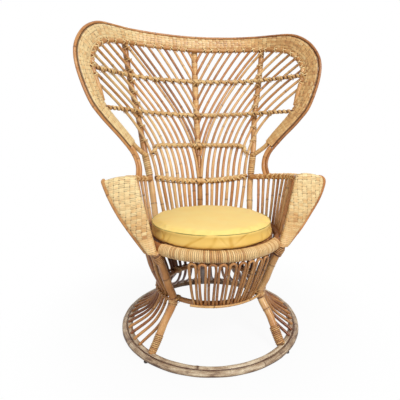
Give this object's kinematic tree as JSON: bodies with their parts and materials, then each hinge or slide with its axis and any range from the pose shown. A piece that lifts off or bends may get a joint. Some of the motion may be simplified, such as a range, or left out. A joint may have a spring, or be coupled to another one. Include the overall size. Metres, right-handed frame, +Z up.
{
  "type": "peacock chair",
  "caption": "Cane peacock chair: a tall winged back of fanned spindles in a woven band, woven arms, a round loose cushion and a waisted base on a floor ring.",
  "frame": {"origin": "on the floor, under the middle of the bounding box", "axes": "+Z up, -Y the way the sitter faces, +X to the right of someone who looks at the front"},
  "size_m": [0.9564, 0.8222, 1.1482],
  "materials": {
    "honey_cane": "satin varnish",
    "amber_cane": "satin varnish",
    "pale_peel": "satin varnish",
    "dark_cane": "worn varnish",
    "cushion_cover": "soft sheen",
    "glide": "matt"
  },
  "bodies": {
    "frame": {"arm_edge_left": "amber_cane", "arm_edge_right": "amber_cane", "arm_panel_left": "pale_peel", "arm_panel_right": "pale_peel", "arm_rail_left": "honey_cane", "arm_rail_right": "honey_cane", "back_band": "pale_peel", "base_edge_ring": "dark_cane", "base_ring": "dark_cane", "centre_post": "amber_cane", "fan_left": "honey_cane", "fan_right": "honey_cane", "foot_winding_front_left": "pale_peel", "foot_winding_front_right": "pale_peel", "frame_cane": "honey_cane", "front_loop_1": "honey_cane", "front_loop_2": "honey_cane", "front_loop_3": "honey_cane", "front_loop_4": "honey_cane", "front_loop_5": "honey_cane", "front_loop_6": "honey_cane", "front_loop_7": "honey_cane", "front_loop_8": "honey_cane", "front_loop_9": "honey_cane", "glide_front_left": "glide", "glide_front_right": "glide", "glide_rear_left": "glide", "glide_rear_right": "glide", "inner_cane": "honey_cane", "leg_front_left": "honey_cane", "leg_front_right": "honey_cane", "leg_rear_left": "honey_cane", "leg_rear_right": "honey_cane", "post_left": "honey_cane", "post_right": "honey_cane", "post_winding_left": "pale_peel", "post_winding_right": "pale_peel", "rail_lower": "honey_cane", "rail_middle": "honey_cane", "rail_upper": "honey_cane", "rim_cane": "amber_cane", "seat_bearer_1": "amber_cane", "seat_bearer_2": "amber_cane", "seat_bearer_3": "amber_cane", "seat_deck": "amber_cane", "seat_ring": "amber_cane", "seat_winding": "pale_peel", "skirt_front_left": "amber_cane", "skirt_front_right": "amber_cane", "skirt_middle_left": "amber_cane", "skirt_middle_right": "amber_cane", "skirt_rear_left": "amber_cane", "skirt_rear_right": "amber_cane", "waist_cover_cane": "pale_peel", "waist_ring": "amber_cane"},
    "cushion": {"seat_cushion": "cushion_cover"}
  },
  "joints": [
    {"name": "cushion_lift", "type": "slide", "parent": "frame", "child": "cushion", "axis": [0, 0, 1], "range_m": [0, 0.3]}
  ]
}
